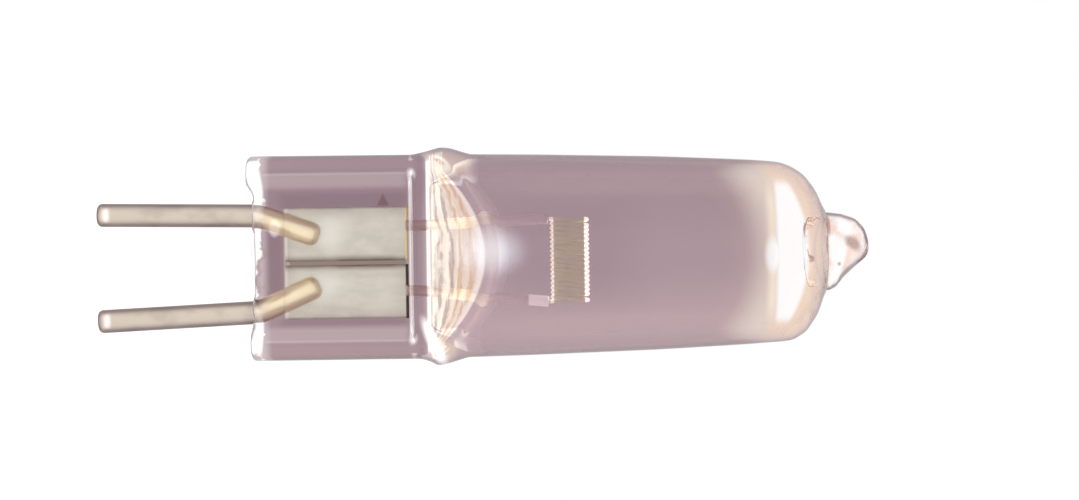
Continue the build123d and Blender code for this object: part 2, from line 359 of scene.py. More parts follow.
def rod(x_at, heights, radius, sides, foil_side, pressed, low_round, high_round):
    """Rings of a round wire that climbs along x(z) in the plane of the pins: middle + radius (cos a across, sin a
    in depth). Its ends are drawn in as the root of 1 - s^2, and where it is pressed on a foil it keeps to one side."""
    x = x_at(heights)
    slope = np.gradient(x, heights)
    across_x = 1 / np.sqrt(1 + slope ** 2)
    low = np.clip(1 - (heights - heights[0]) / low_round, 0, 1)
    high = np.clip(1 - (heights[-1] - heights) / high_round, 0, 1)
    drawn_in = low_round * (1 - np.sqrt(1 - low ** 2)) + high_round * (1 - np.sqrt(1 - high ** 2))
    reach = np.maximum(radius - drawn_in, 0.02 * radius)[:, None]
    angle = np.arange(sides) * 2 * pi / sides
    across = reach * np.cos(angle)
    px = x[:, None] + across * across_x[:, None]
    pz = heights[:, None] - across * (slope * across_x)[:, None]
    py = reach * np.sin(angle)
    on_foil = ease((pz - pressed[0]) / FOIL_FADE) * ease((pressed[1] - pz) / FOIL_FADE)
    flat = foil_side * np.maximum(foil_side * py, FOIL_HALF)
    return np.stack([px, py + (flat - py) * on_foil, pz], axis=-1)


def bent(foot, bend, top, softness):
    """A line x(z) of two straight runs that meet at a bend: one slope below it and another above, where the change
    comes in as softness times ln(1 + e^(h / softness))."""
    low_slope = (bend[0] - foot[0]) / (bend[1] - foot[1])
    high_slope = (top[0] - bend[0]) / (top[1] - bend[1])

    def line(z):
        height = z - bend[1]
        change = softness * np.logaddexp(0, height / softness)
        return bend[0] + low_slope * height + (high_slope - low_slope) * change

    return line


def rod_heights(low, high, bend, end_round):
    """Heights for a rod's rings, close together at its rounded ends and at its bend."""
    rounding = end_round * (1 - np.cos(np.linspace(0, pi / 2, 9)))
    return np.unique(np.concatenate([
        low + rounding, np.linspace(low + end_round, high - end_round, 60),
        np.linspace(bend - 1.2, bend + 1.2, 26), high - rounding,
    ]))


def coil_rings(steps, sides):
    """Rings of the filament's wire on a flat helix: a rounded oblong, |y / 0.41|^3.2 + |z / 1.137|^3.2 = 1, gone
    round at an even pace while x moves along, with a straight leg at each end and the end turns splayed at the top."""
    turns = COIL_TURNS
    angle = np.linspace(0, 2 * pi, 2001)
    power = 2 / COIL_SQUARENESS
    oblong_y = -COIL_HALF_DEPTH * np.sign(np.sin(angle)) * np.abs(np.sin(angle)) ** power
    oblong_z = -COIL_HALF_HEIGHT * np.sign(np.cos(angle)) * np.abs(np.cos(angle)) ** power
    length = np.concatenate([[0], np.cumsum(np.hypot(np.diff(oblong_y), np.diff(oblong_z)))])
    share = np.arange(steps) / steps * length[-1]
    y = np.append(np.tile(np.interp(share, length, oblong_y), turns), 0)
    z = np.append(np.tile(np.interp(share, length, oblong_z), turns), -COIL_HALF_HEIGHT)
    along = np.linspace(0, 1, len(y))
    ends = ease((along - 1 + 1 / turns) * turns) - ease(1 - along * turns)
    chance = np.random.default_rng(COIL_SEED)
    uneven = np.interp(along, np.linspace(0, 1, 2 * turns), chance.normal(0, COIL_UNEVENNESS, 2 * turns))
    at_top = ease(z / COIL_HALF_HEIGHT)
    x = METAL_SHIFT + (along - 0.5) * COIL_LENGTH + uneven * at_top + COIL_SPLAY * ends * at_top
    drop = np.linspace(LEG_FOOT, LEG_HEAD, LEG_STEPS)
    left_leg, right_leg = (
        np.stack([np.full(LEG_STEPS, leg_x), np.zeros(LEG_STEPS), COIL_BOTTOM - leg_drop], axis=-1)
        for leg_x, leg_drop in ((METAL_SHIFT - COIL_LENGTH / 2, drop), (METAL_SHIFT + COIL_LENGTH / 2, drop[::-1]))
    )
    path = np.concatenate([left_leg, np.stack([x, y, FILAMENT_HEIGHT + z], axis=-1), right_leg])
    forward = np.gradient(path, axis=0)
    forward /= np.linalg.norm(forward, axis=1, keepdims=True)
    side = np.array([1.0, 0, 0]) - forward[:, :1] * forward
    side /= np.linalg.norm(side, axis=1, keepdims=True)
    other = np.cross(forward, side)
    turn = (np.arange(sides) * 2 * pi / sides)[None, :, None]
    return path[:, None] + COIL_WIRE_RADIUS * (np.cos(turn) * side[:, None] + np.sin(turn) * other[:, None])


# Materials

def link(tree, value, socket):
    """Joins another socket to a socket, or sets it to a plain number or to a colour of three."""
    if isinstance(value, bpy.types.NodeSocket):
        tree.links.new(value, socket)
    elif isinstance(value, tuple):
        socket.default_value = (*value, 1)
    else:
        socket.default_value = value


def calc(tree, operation, *values):
    """One Math node."""
    node = tree.nodes.new("ShaderNodeMath")
    node.operation = operation
    for value, socket in zip(values, node.inputs):
        link(tree, value, socket)
    return node.outputs[0]


def plus(tree, first, second):
    """The sum of two numbers."""
    return calc(tree, "ADD", first, second)


def minus(tree, first, second):
    """The first number less the second."""
    return calc(tree, "SUBTRACT", first, second)


def times(tree, product, *others):
    """The product of several numbers or masks."""
    for other in others:
        product = calc(tree, "MULTIPLY", product, other)
    return product


def largest(tree, most, *others):
    """The largest of several numbers or masks."""
    for other in others:
        most = calc(tree, "MAXIMUM", most, other)
    return most


def step_up(tree, value, low, high):
    """0 below low, 1 above high, smooth between."""
    node = tree.nodes.new("ShaderNodeMapRange")
    node.interpolation_type = "SMOOTHSTEP"
    link(tree, value, node.inputs["Value"])
    node.inputs["From Min"].default_value, node.inputs["From Max"].default_value = low, high
    return node.outputs["Result"]


def step_down(tree, value, low, high):
    """1 below low, 0 above high, smooth between."""
    return minus(tree, 1.0, step_up(tree, value, low, high))


def band(tree, value, low, high, soft):
    """1 between low and high, fading out over soft on both sides."""
    return times(tree, step_up(tree, value, low - soft, low + soft), step_down(tree, value, high - soft, high + soft))


def oval(tree, x, z, centre, half, soft):
    """1 inside an upright oval of the front view, fading out round its rim."""
    across = calc(tree, "DIVIDE", minus(tree, x, centre[0]), half[0])
    up = calc(tree, "DIVIDE", minus(tree, z, centre[1]), half[1])
    distance = calc(tree, "SQRT", plus(tree, times(tree, across, across), times(tree, up, up)))
    return step_down(tree, distance, 1 - soft, 1 + soft)


def blend_colour(tree, share, first, second):
    """First colour where share is 0, second where it is 1."""
    node = tree.nodes.new("ShaderNodeMix")
    node.data_type = "RGBA"
    link(tree, share, node.inputs["Factor"])
    link(tree, first, node.inputs["A"])
    link(tree, second, node.inputs["B"])
    return node.outputs["Result"]


def paint(tree, colour, *layers):
    """A colour with layers laid over it in turn, each as (mask, share, tone): the tone takes that share of the
    place where the mask is 1."""
    for mask, share, tone in layers:
        colour = blend_colour(tree, mask if share == 1 else times(tree, mask, share), colour, tone)
    return colour


def place_in_mm(tree):
    """Object coordinates as x, y and z in millimetres, and as one vector."""
    place = tree.nodes.new("ShaderNodeTexCoord")
    scaled = tree.nodes.new("ShaderNodeVectorMath")
    scaled.operation = "SCALE"
    tree.links.new(place.outputs["Object"], scaled.inputs[0])
    scaled.inputs["Scale"].default_value = 1 / MM
    apart = tree.nodes.new("ShaderNodeSeparateXYZ")
    tree.links.new(scaled.outputs[0], apart.inputs[0])
    return apart.outputs["X"], apart.outputs["Y"], apart.outputs["Z"], scaled.outputs[0]


def noise(tree, vector, scale, detail, stretch=(1, 1, 1)):
    """A noise value, with its pattern stretched along the axes."""
    mapping = tree.nodes.new("ShaderNodeMapping")
    mapping.inputs["Scale"].default_value = stretch
    tree.links.new(vector, mapping.inputs["Vector"])
    node = tree.nodes.new("ShaderNodeTexNoise")
    node.inputs["Scale"].default_value = scale
    node.inputs["Detail"].default_value = detail
    tree.links.new(mapping.outputs[0], node.inputs["Vector"])
    return node.outputs["Fac"]


def bump(tree, height, strength, distance):
    """A normal from a height."""
    node = tree.nodes.new("ShaderNodeBump")
    node.inputs["Strength"].default_value = strength
    node.inputs["Distance"].default_value = distance
    tree.links.new(height, node.inputs["Height"])
    return node.outputs["Normal"]


def turned_away(tree):
    """0 where the surface faces the eye, 1 at its very edge."""
    weight = tree.nodes.new("ShaderNodeLayerWeight")
    weight.inputs["Blend"].default_value = 0.5
    return weight.outputs["Facing"]


def new_group(name, inputs, outputs):
    """An empty shader node group with float or colour sockets, and its two end nodes."""
    group = bpy.data.node_groups.new(name, "ShaderNodeTree")
    for socket_name, kind, value in inputs:
        socket = group.interface.new_socket(socket_name, in_out="INPUT", socket_type=kind)
        socket.default_value = value
    for socket_name, kind in outputs:
        group.interface.new_socket(socket_name, in_out="OUTPUT", socket_type=kind)
    return group, group.nodes.new("NodeGroupInput"), group.nodes.new("NodeGroupOutput")


def wire_grain_group():
    """Drawn wire: fine lines along the wire and soft stains, as a colour, a roughness and a height."""
    group, given, result = new_group(
        "drawn_wire_grain",
        [("Clean", "NodeSocketColor", (0.6, 0.57, 0.55, 1)), ("Stained", "NodeSocketColor", (0.45, 0.4, 0.37, 1)),
         ("Smooth", "NodeSocketFloat", 0.3), ("Rough", "NodeSocketFloat", 0.45)],
        [("Colour", "NodeSocketColor"), ("Roughness", "NodeSocketFloat"), ("Height", "NodeSocketFloat")],
    )
    clean, stained_tone, smooth, rough = (given.outputs[name] for name in ("Clean", "Stained", "Smooth", "Rough"))
    _, _, _, place = place_in_mm(group)
    lines = noise(group, place, 7.0, 3, (1, 1, 0.05))
    stained = step_up(group, noise(group, place, 0.9, 4, (1, 1, 0.6)), 0.42, 0.66)
    share = plus(group, times(group, lines, 0.6), times(group, stained, 0.4))
    link(group, blend_colour(group, stained, clean, stained_tone), result.inputs["Colour"])
    link(group, plus(group, smooth, times(group, minus(group, rough, smooth), share)), result.inputs["Roughness"])
    link(group, lines, result.inputs["Height"])
    return group


def start_material(name):
    """A new node material, its tree and its Principled shader."""
    material = bpy.data.materials.new(name)
    material.use_nodes = True
    tree = material.node_tree
    return material, tree, tree.nodes["Principled BSDF"]


BLACK = (0, 0, 0)
# The dark tone of the painted shade on the wires' sides.
WIRE_SIDE_SHADE = (0.13, 0.08, 0.115)


def wire_material(name, grain, look, side_shade, heat_and_sheen, glints):
    """Satin wire metal, with painted shade towards its sides: a given share of a dark tone outside the glass and a
    fifth of that inside it. Look is the clean and the stained colour, and the lowest and the highest roughness. Heat
    and sheen come as the colour of the wire from each height on, as (colour, low, high): on the pins the gold that the
    flame and the glass gave them, on the leads a painted highlight. Glints are painted highlights, given as emission,
    as (colour, low, high, soft, width): they fade as the wire turns away, and are gone where it has turned by width."""
    material, tree, shader = start_material(name)
    drawn = tree.nodes.new("ShaderNodeGroup")
    drawn.node_tree = grain
    for socket_name, value in zip(("Clean", "Stained", "Smooth", "Rough"), look):
        link(tree, value, drawn.inputs[socket_name])
    _, _, z, _ = place_in_mm(tree)
    colour = paint(tree, drawn.outputs["Colour"], *((step_up(tree, z, low, high), 1, tone) for tone, low, high in heat_and_sheen))
    outside = minus(tree, 1.0, times(tree, step_up(tree, z, 0.0, 1.0), 0.8))
    # Painted shade towards the wire's sides, a fifth as strong inside the glass.
    shaded_sides = times(tree, step_up(tree, turned_away(tree), 0.0, 0.5), outside)
    link(tree, paint(tree, colour, (shaded_sides, side_shade, WIRE_SIDE_SHADE)), shader.inputs["Base Color"])
    # Painted highlights, given as emission.
    shine = BLACK
    for tone, low, high, soft, width in glints:
        lit = times(tree, band(tree, z, low, high, soft), step_down(tree, turned_away(tree), 0.0, width))
        shine = blend_colour(tree, lit, shine, tone)
    link(tree, shine, shader.inputs["Emission Color"])
    shader.inputs["Emission Strength"].default_value = 1
    link(tree, drawn.outputs["Roughness"], shader.inputs["Roughness"])
    link(tree, bump(tree, drawn.outputs["Height"], 0.25, 0.00003), shader.inputs["Normal"])
    shader.inputs["Metallic"].default_value = 1
    return material


FOIL_PALE = (0.84, 0.80, 0.735)
FOIL_GREY = (0.735, 0.70, 0.645)
FOIL_BRIGHT_END = (1, 0.98, 0.9)
FOIL_BY_GAP = (0.12, 0.07, 0.06)
FOIL_HALO = (1, 1, 0.97)
FOIL_DARK_END = (0.10, 0.07, 0.06)
FOIL_GOLD_END = (1, 0.84, 0.45)


def foil_material():
    """Sealing foil: matt grey-beige and slightly crinkled, bright at its outer end and round the welds, brown along
    the gap between the two foils, gold at the left foil's inner end and dark at the right one's."""
    material, tree, shader = start_material("foil_metal")
    x, _, z, place = place_in_mm(tree)
    cloud = step_up(tree, noise(tree, place, 1.1, 4, (1, 1, 0.5)), 0.35, 0.7)
    outer_end = band(tree, z, 1.8, 2.08, 0.05)
    from_gap = calc(tree, "ABSOLUTE", minus(tree, x, METAL_SHIFT))
    # Darker brown towards the gap between the foils; at the inner ends gold on the left foil and dark on the right one.
    by_gap = plus(tree, 0.5, times(tree, band(tree, z, 5.3, 9.0, 0.4), 0.22))
    by_gap = times(tree, step_down(tree, from_gap, 0.1, 0.62), by_gap)
    left_halo = oval(tree, x, z, (-1.65, 4.75), (0.9, 0.9), 0.9)
    right_halo = oval(tree, x, z, (1.8, 4.6), (0.8, 0.8), 0.9)
    inner_end = band(tree, z, 9.7, 9.95, 0.04)
    inner_end_tone = blend_colour(tree, calc(tree, "LESS_THAN", x, METAL_SHIFT), FOIL_DARK_END, FOIL_GOLD_END)
    colour = paint(
        tree, FOIL_PALE, (cloud, 1, FOIL_GREY), (outer_end, 1, FOIL_BRIGHT_END), (by_gap, 1, FOIL_BY_GAP),
        (largest(tree, left_halo, right_halo), 0.7, FOIL_HALO), (inner_end, 1, inner_end_tone),
    )
    link(tree, colour, shader.inputs["Base Color"])
    link(tree, bump(tree, noise(tree, place, 2.2, 3, (1, 1, 0.4)), 0.3, 0.00008), shader.inputs["Normal"])
    shader.inputs["Metallic"].default_value = 0.75
    shader.inputs["Roughness"].default_value = 0.5
    return material


COIL_GREY = (0.82, 0.83, 0.70)
COIL_PALE = (0.92, 0.93, 0.79)
COIL_BEND_HIGHLIGHT = (1.0, 0.98, 0.9)
COIL_SHINE = (0.08, 0.078, 0.065)
COIL_LOW_GLINT = (0.54, 0.52, 0.46)
COIL_TOP_GLINT = (1, 0.93, 0.82)


def filament_material():
    """Bare coil wire: grey-beige on its long faces, with a painted highlight where each turn bends over, the wider one
    at the top, and a faint painted glow over all of it, given as emission."""
    material, tree, shader = start_material("filament_metal")
    _, _, z, place = place_in_mm(tree)
    # Painted highlights where the turns bend over, in the colour and in the emission.
    top = step_up(tree, z, 21.26, 21.34)
    bottom = times(tree, step_down(tree, z, 19.26, 19.34), step_up(tree, z, 19.02, 19.08))
    glint = largest(tree, top, bottom)
    colour = paint(tree, COIL_GREY, (noise(tree, place, 2.0, 2), 1, COIL_PALE), (glint, 1, COIL_BEND_HIGHLIGHT))
    link(tree, colour, shader.inputs["Base Color"])
    # Painted light, given as emission: a faint glow over the whole coil and the bends' highlights on it.
    shine = paint(tree, COIL_SHINE, (glint, 1, COIL_LOW_GLINT), (top, 1, COIL_TOP_GLINT))
    link(tree, shine, shader.inputs["Emission Color"])
    shader.inputs["Emission Strength"].default_value = 1.2
    shader.inputs["Metallic"].default_value = 0.6
    shader.inputs["Roughness"].default_value = 0.42
    return material


# Below the index of quartz, because higher values leave dark squiggles on the dome and at the arch's corners.
GLASS_INDEX = 1.19
GLASS_GLOW = 0.3
FOLD_GLOW = 0.2
FOLD_GLOW_FRONT = 0.22

MAUVE = (0.395, 0.28, 0.322)
MAUVE_LIGHT = (0.435, 0.315, 0.35)
MAUVE_PINK = (0.54, 0.395, 0.42)
MAUVE_DEEP = (0.25, 0.17, 0.20)
MAUVE_SHADE = (0.17, 0.10, 0.13)
MAUVE_FOIL_SHADOW = (0.16, 0.10, 0.12)
MAUVE_DARK = (0.10, 0.045, 0.055)
MAUVE_OUTLINE = (0.30, 0.20, 0.24)
ROSE_EDGE_SHEEN = (0.66, 0.52, 0.48)
ROSE_FLANK_HIGHLIGHT = (0.66, 0.57, 0.57)
ROSE_LINE_HIGHLIGHT = (0.95, 0.88, 0.88)
CLEAR_OVER_METAL = (0.93, 0.92, 0.88)
GAP_BROWN = (0.28, 0.21, 0.18)
SPECK_BROWN = (0.12, 0.05, 0.05)
RIM_BROWN = (0.22, 0.12, 0.13)
WHITE = (1, 0.98, 0.97)
CREAM = (1.0, 0.93, 0.80)
GOLD = (1.0, 0.80, 0.60)
COOL_WHITE = (0.95, 0.94, 1)
FOLD_SHADE = (0.32, 0.23, 0.22)
FOLD_LIGHT = (0.86, 0.75, 0.65)
FOLD_AMBER = (0.70, 0.42, 0.24)
FOLD_GOLD = (1, 0.88, 0.66)
ARCH_EDGE = (1, 0.95, 0.84)
DOME_BEIGE = (0.58, 0.42, 0.33)
DOME_AMBER = (0.78, 0.47, 0.31)
FRINGE_GOLD = (1, 0.74, 0.5)
TIP_BLUSH = (0.84, 0.52, 0.40)
STROKE_BROWN = (0.3, 0.12, 0.10)
ROOT_ROSE = (0.5, 0.33, 0.34)
MARK_BROWN = (0.14, 0.06, 0.06)

# Middle line of each pin inside the glass, as x at z = 0 and the change of x for each millimetre of height.
PIN_LINES = ((-2.78, 0.3415), (3.51, -0.4268))

# A place on the glass in millimetres: x, y, z, |x|, x^2 and the whole vector.
Spot = namedtuple("Spot", "x y z side square vector")


def glass_shader(name):
    """Clear quartz: full transmission, with a softened index."""
    material, tree, shader = start_material(name)
    shader.inputs["Transmission Weight"].default_value = 1
    shader.inputs["Metallic"].default_value = 0
    shader.inputs["Roughness"].default_value = 0.0
    shader.inputs["IOR"].default_value = GLASS_INDEX
    return material, tree, shader


def clear_glass():
    """The hollow's own skin of the glass, clear and smooth."""
    material, tree, shader = glass_shader("quartz_hollow")
    link(tree, (1, 1, 1), shader.inputs["Base Color"])
    return material


def mauve_ground(tree, at):
    """The mauve all over, which stands for a mauve surrounding seen through the glass, with painted light and shade in
    it: pinker and lighter to the right and deeper to the left as painted light and shade, deeper over the pinch,
    painted shade in the middle of the tube, along the pinch's edges and below the foils between the pins, a painted
    shadow beside the foils, and a paler painted sheen along the tube's edges."""
    to_left = times(tree, at.x, -1.0)
    shadow_beside_foils = largest(tree, band(tree, at.x, -4.2, -3.2, 0.3), band(tree, at.x, 3.9, 4.6, 0.3))
    tube_edge_sheen = times(tree, band(tree, at.side, 4.6, 5.2, 0.7), step_up(tree, at.z, 14.0, 19.0))
    tube_middle_shade = times(tree, band(tree, at.z, 16.0, 24.0, 2.5), step_down(tree, at.side, 2.0, 5.0))
    pinch_edge_shade = times(tree, step_up(tree, at.side, 6.25, 6.5), band(tree, at.z, 0.5, 11.2, 0.3))
    shade_by_foil_ends = times(tree, band(tree, at.z, 0.7, 1.8, 0.25), band(tree, at.x, -2.2, 2.6, 0.3))
    # Painted light and shade over the mauve, layer by layer.
    return paint(
        tree, MAUVE,
        (noise(tree, at.vector, 0.25, 3), 1, MAUVE_LIGHT),
        (step_up(tree, at.x, 0.5, 5.0), 0.6, MAUVE_PINK),
        (step_up(tree, to_left, 0.0, 4.0), 0.2, MAUVE_DEEP),
        (step_down(tree, at.z, 10.7, 11.2), 0.55, MAUVE_DEEP),
        (times(tree, shadow_beside_foils, band(tree, at.z, 1.6, 9.8, 0.4)), 0.28, MAUVE_FOIL_SHADOW),
        (tube_edge_sheen, 0.3, ROSE_EDGE_SHEEN),
        (tube_middle_shade, 0.22, MAUVE_DEEP),
        (pinch_edge_shade, 0.8, MAUVE_SHADE),
        (shade_by_foil_ends, 0.35, MAUVE_SHADE),
    )


def rail_layers(tree, at):
    """The pinch's rails, pinker, and the paler flanks of its recess with the line between the two, which are painted
    highlights.
    """
    along_recess = band(tree, at.z, 0.9, 9.9, 0.4)
    rails = times(tree, step_up(tree, at.side, 5.4, 5.8), band(tree, at.z, 0.6, 10.6, 0.5))
    flank = times(tree, band(tree, at.side, 4.5, 5.4, 0.25), along_recess)
    line = times(tree, band(tree, at.side, 5.3, 5.42, 0.09), along_recess)
    return (rails, 0.45, MAUVE_PINK), (flank, 0.75, ROSE_FLANK_HIGHLIGHT), (line, 0.6, ROSE_LINE_HIGHLIGHT)


def metal_layers(tree, at):
    """Clear glass over the foils and the inner pins, and brown over the gap between the foils."""
    over_foils = times(tree, band(tree, at.z, 1.95, 9.85, 0.08), band(tree, at.x, -3.15, 3.85, 0.08))
    from_pins = [minus(tree, at.x, plus(tree, times(tree, at.z, slope), foot)) for foot, slope in PIN_LINES]
    over_pins = largest(tree, *(band(tree, distance, -0.7, 0.7, 0.12) for distance in from_pins))
    over_pins = times(tree, over_pins, band(tree, at.z, 0.1, 2.1, 0.4))
    gap = times(tree, band(tree, at.x, METAL_SHIFT - 0.22, METAL_SHIFT + 0.22, 0.12), band(tree, at.z, 2.0, 9.9, 0.2))
    return (largest(tree, over_foils, over_pins), 1, CLEAR_OVER_METAL), (gap, 1, GAP_BROWN)


def speck_layer(tree, at):
    """A small brown wedge beside the left foil, which widens with x."""
    half_height = times(tree, plus(tree, at.x, 4.3), 0.5)
    inside = minus(tree, half_height, calc(tree, "ABSOLUTE", minus(tree, at.z, 8.35)))
    return times(tree, step_up(tree, inside, 0.0, 0.2), band(tree, at.x, -4.4, -3.3, 0.05)), 0.8, SPECK_BROWN


def melted_rim(tree, at):
    """Masks of the melted end: its ragged white rim, a painted highlight, the painted shade above that between the
    pins, and its white blobs, painted glints.
    """
    ragged = times(tree, minus(tree, noise(tree, at.vector, 0.9, 3), 0.5), 3.4)
    ragged = plus(tree, at.z, ragged)
    shade = times(tree, band(tree, ragged, 0.35, 0.75, 0.15), band(tree, at.x, -1.7, 2.3, 0.3))
    blobs = largest(
        tree, oval(tree, at.x, at.z, (-4.2, 0.1), (1.9, 0.5), 0.3),
        oval(tree, at.x, at.z, (-1.95, 1.35), (0.5, 0.35), 0.4), oval(tree, at.x, at.z, (4.9, 0.3), (1.3, 0.28), 0.4),
    )
    return step_down(tree, ragged, 0.15, 0.45), shade, blobs


def cross_lines(tree, at):
    """Masks of what shines across the lamp: the recess's upper end, a dot at either end of that, the collar, and the
    blob at the collar's right end."""
    recess_end = times(tree, band(tree, at.z, 10.0, 10.24, 0.06), band(tree, at.side, -1, 5.5, 0.15))
    dots = oval(tree, at.side, at.z, (5.35, 10.15), (0.3, 0.2), 0.6)
    collar = times(tree, band(tree, at.z, 11.16, 11.42, 0.07), band(tree, at.side, -1, 6.1, 0.2))
    blob = oval(tree, minus(tree, at.x, times(tree, at.z, 1.6)), at.z, (-12.9, 11.55), (0.8, 0.75), 0.4)
    return recess_end, dots, collar, blob


def arch_folds(tree, at):
    """The facets: t, which climbs from 0 at the collar to 1 on the arch as in facet_ripple, their mask, and the painted
    light and shade of their folds, which follows a wobbly sine of t with fine streaks, turns to golden highlights
    higher up and ends in a bright painted edge."""
    reach = largest(tree, minus(tree, ARCH_RISE, times(tree, at.square, ARCH_BOW)), ARCH_LEAST)
    t = calc(tree, "DIVIDE", minus(tree, at.z, ARCH_FOOT), reach)
    wander = times(tree, minus(tree, noise(tree, at.vector, 0.5, 3, (1, 1, 0.6)), 0.5), 2.0)
    folds = calc(tree, "SINE", times(tree, plus(tree, times(tree, t, ARCH_FOLDS), wander), 2 * pi))
    streaks = noise(tree, at.vector, 1.0, 4, (0.35, 0.6, 3.2))
    folds = plus(tree, folds, times(tree, minus(tree, streaks, 0.5), 5.0))
    facets = times(tree, band(tree, t, 0.02, 1.0, 0.03), step_up(tree, calc(tree, "ABSOLUTE", at.y), 2.0, 2.4))
    golden = blend_colour(tree, step_up(tree, folds, -1.4, 0.6), FOLD_AMBER, FOLD_GOLD)
    # Painted light and shade of the folds: dark between them, light and then golden highlights on them, and a bright
    # edge at the arch.
    tone = paint(
        tree, FOLD_SHADE,
        (step_up(tree, folds, -1.2, 0.7), 1, FOLD_LIGHT),
        (band(tree, t, 0.5, 0.97, 0.14), 1, golden),
        (band(tree, t, 0.88, 1.04, 0.04), 1, ARCH_EDGE),
    )
    return t, facets, tone


def shoulder_lights(tree, at):
    """Masks of painted highlights: the glow beyond the arch, with its brighter core, and the golden patches at the
    arch's two ends.
    """
    glow = oval(tree, at.x, at.z, (-0.3, 15.2), (1.1, 1.5), 0.9)
    core = oval(tree, at.x, at.z, (-0.1, 14.65), (1.0, 0.6), 0.6)
    left_patch = oval(tree, at.x, at.z, (-5.9, 12.7), (0.75, 1.3), 0.5)
    right_patch = oval(tree, at.x, at.z, (6.0, 12.4), (0.8, 0.7), 0.5)
    return largest(tree, glow, core), largest(tree, left_patch, right_patch)


def dome_layers(tree, at, dome):
    """The dome, from beige to amber as painted warm light, with a white bow, a painted reflection, a golden fringe of
    painted light under it, and a round painted highlight at the bow's foot.
    """
    fringe = times(tree, band(tree, at.z, 32.8, 33.3, 0.25), step_down(tree, at.side, 3.0, 5.0))
    over_bow = minus(tree, at.z, minus(tree, 35.5, times(tree, at.square, 0.06)))
    bow = times(tree, step_up(tree, at.z, 33.2, 33.55), step_down(tree, over_bow, -0.3, 0.1))
    bow = times(tree, bow, step_down(tree, at.side, 4.0, 4.8))
    patch = oval(tree, at.x, at.z, (0.2, 33.1), (1.0, 0.45), 0.5)
    return (
        (step_up(tree, dome, 29.6, 34.0), 0.85, DOME_BEIGE),
        (step_up(tree, dome, 33.8, 34.9), 1, DOME_AMBER),
        (fringe, 0.6, FRINGE_GOLD),
        (largest(tree, bow, patch), 1, WHITE),
    )


def tip_layers(tree, at, tip):
    """The melted tip: white with a blush, a dark stroke at its left, a line round its root, and on the front face a
    bean-shaped mark and a speckle."""
    blush = step_up(tree, noise(tree, at.vector, 0.7, 3), 0.42, 0.62)
    stroke = oval(tree, at.x, at.z, (-1.7, 36.95), (0.7, 0.14), 0.5)
    over_root = minus(tree, at.z, plus(tree, 35.8, times(tree, at.square, 0.13)))
    root = times(tree, band(tree, over_root, -0.1, 0.1, 0.08), calc(tree, "LESS_THAN", at.side, 2.7))
    across = plus(tree, at.x, times(tree, at.z, 0.35))
    slanted = minus(tree, at.z, times(tree, at.x, 0.9))
    bean = oval(tree, across, slanted, (13.03, 38.96), (0.62, 0.5), 0.5)
    speckle = oval(tree, at.x, at.z, (0.85, 37.6), (0.13, 0.13), 0.5)
    marks = times(tree, largest(tree, bean, speckle), calc(tree, "LESS_THAN", at.y, 0.0))
    return (
        (tip, 1, blend_colour(tree, blush, WHITE, TIP_BLUSH)),
        (stroke, 1, STROKE_BROWN),
        (root, 0.6, ROOT_ROSE),
        (marks, 0.8, MARK_BROWN),
    )


def low_outline(tree, at, entering):
    """Mask of the dark outline at the melted end, painted shade, left out where the pins come through."""
    turned = times(tree, turned_away(tree), step_down(tree, at.z, 0.3, 0.6))
    by_pins = largest(tree, band(tree, at.x, -3.6, -1.9, 0.1), band(tree, at.x, 2.7, 4.3, 0.1))
    return times(tree, step_up(tree, turned, 0.3, 0.75), entering, minus(tree, 1.0, by_pins))


def edge_layers(tree, at, entering, tip):
    """Painted shade: deeper and then dark mauve where the glass turns away from the eye, a little sooner on the tip."""
    away = times(tree, turned_away(tree), entering, step_up(tree, at.z, 0.5, 1.3))
    sooner = plus(tree, away, times(tree, tip, away, 0.3))
    return (step_up(tree, away, 0.3, 0.8), 0.6, MAUVE_DEEP), (step_up(tree, sooner, 0.65, 0.9), 0.95, MAUVE_DARK)


